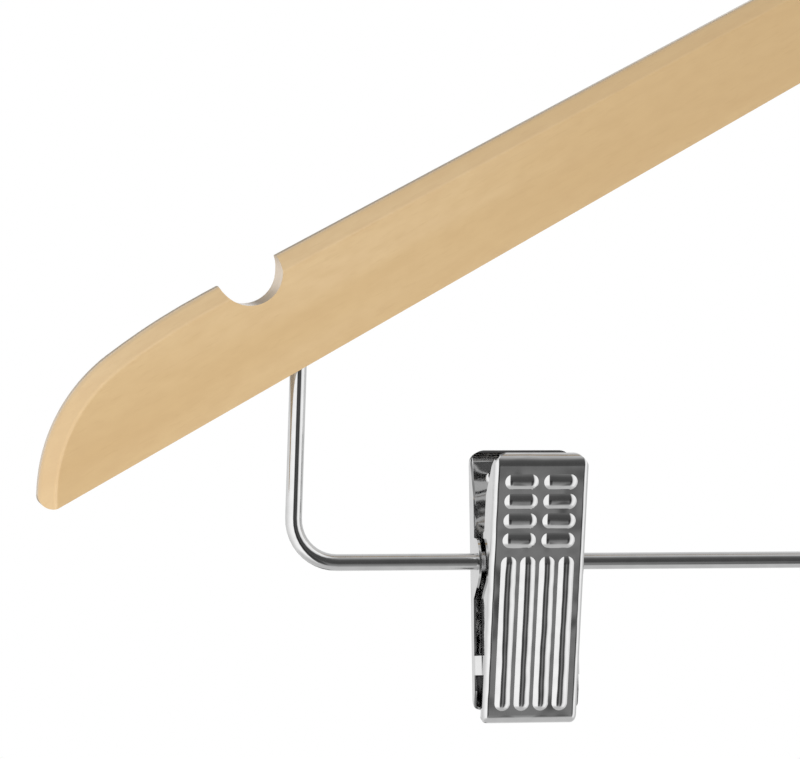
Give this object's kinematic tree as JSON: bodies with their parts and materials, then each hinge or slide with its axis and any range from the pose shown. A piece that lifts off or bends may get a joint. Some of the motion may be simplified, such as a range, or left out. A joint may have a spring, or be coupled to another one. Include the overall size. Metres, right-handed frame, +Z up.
{
  "type": "skirt hanger",
  "caption": "Flat wooden clothes hanger with strap notches, a swivelling wire hook and sprung metal clips that slide along a wire bar.",
  "frame": {"origin": "centre of the hook's bend, where the rail's centre line passes", "axes": "+X along the hanger, to the right seen from the front; +Z up; the front faces -Y"},
  "size_m": [0.445, 0.0238, 0.271],
  "materials": {
    "lacquered_wood": "clear satin lacquer",
    "chrome": "bright plated",
    "spring_steel": "drawn wire",
    "brad_steel": "plain zinc",
    "grip_pad": "matt moulded"
  },
  "bodies": {
    "hook": {"hook": "chrome"},
    "hanger": {"left_arm": "lacquered_wood", "right_arm": "lacquered_wood", "hook_pin": "brad_steel", "bar": "chrome", "left_bar_pin": "brad_steel", "right_bar_pin": "brad_steel"},
    "left_clip_pivot": {"left_pivot_tube": "brad_steel"},
    "left_clip_rear": {"left_rear_jaw": "chrome", "left_rear_pad": "grip_pad", "left_spring": "spring_steel"},
    "left_clip_front": {"left_front_jaw": "chrome", "left_front_pad": "grip_pad"},
    "right_clip_pivot": {"right_pivot_tube": "brad_steel"},
    "right_clip_rear": {"right_rear_jaw": "chrome", "right_rear_pad": "grip_pad", "right_spring": "spring_steel"},
    "right_clip_front": {"right_front_jaw": "chrome", "right_front_pad": "grip_pad"}
  },
  "joints": [
    {"name": "hook_swivel", "type": "hinge", "parent": "hook", "child": "hanger", "pos_m": [0, 0, -0.044], "axis": [0, 0, 1], "continuous": true},
    {"name": "left_clip_slide", "type": "slide", "parent": "hanger", "child": "left_clip_pivot", "axis": [1, 0, 0], "range_m": [-0.03, 0.103]},
    {"name": "left_clip_swing", "type": "hinge", "parent": "left_clip_pivot", "child": "left_clip_rear", "pos_m": [-0.11565, 0, -0.21245], "axis": [1, 0, 0], "continuous": true},
    {"name": "left_clip_open", "type": "hinge", "parent": "left_clip_rear", "child": "left_clip_front", "pos_m": [-0.11565, 0, -0.21245], "axis": [-1, 0, 0], "range_deg": [0, 30], "stiffness_Nm_per_rad": 0.35, "springref_deg": -34.38, "deforming": ["left_spring"]},
    {"name": "right_clip_slide", "type": "slide", "parent": "hanger", "child": "right_clip_pivot", "axis": [-1, 0, 0], "range_m": [-0.03, 0.103]},
    {"name": "right_clip_swing", "type": "hinge", "parent": "right_clip_pivot", "child": "right_clip_rear", "pos_m": [0.11565, 0, -0.21245], "axis": [1, 0, 0], "continuous": true},
    {"name": "right_clip_open", "type": "hinge", "parent": "right_clip_rear", "child": "right_clip_front", "pos_m": [0.11565, 0, -0.21245], "axis": [-1, 0, 0], "range_deg": [0, 30], "stiffness_Nm_per_rad": 0.35, "springref_deg": -34.38, "deforming": ["right_spring"]}
  ]
}
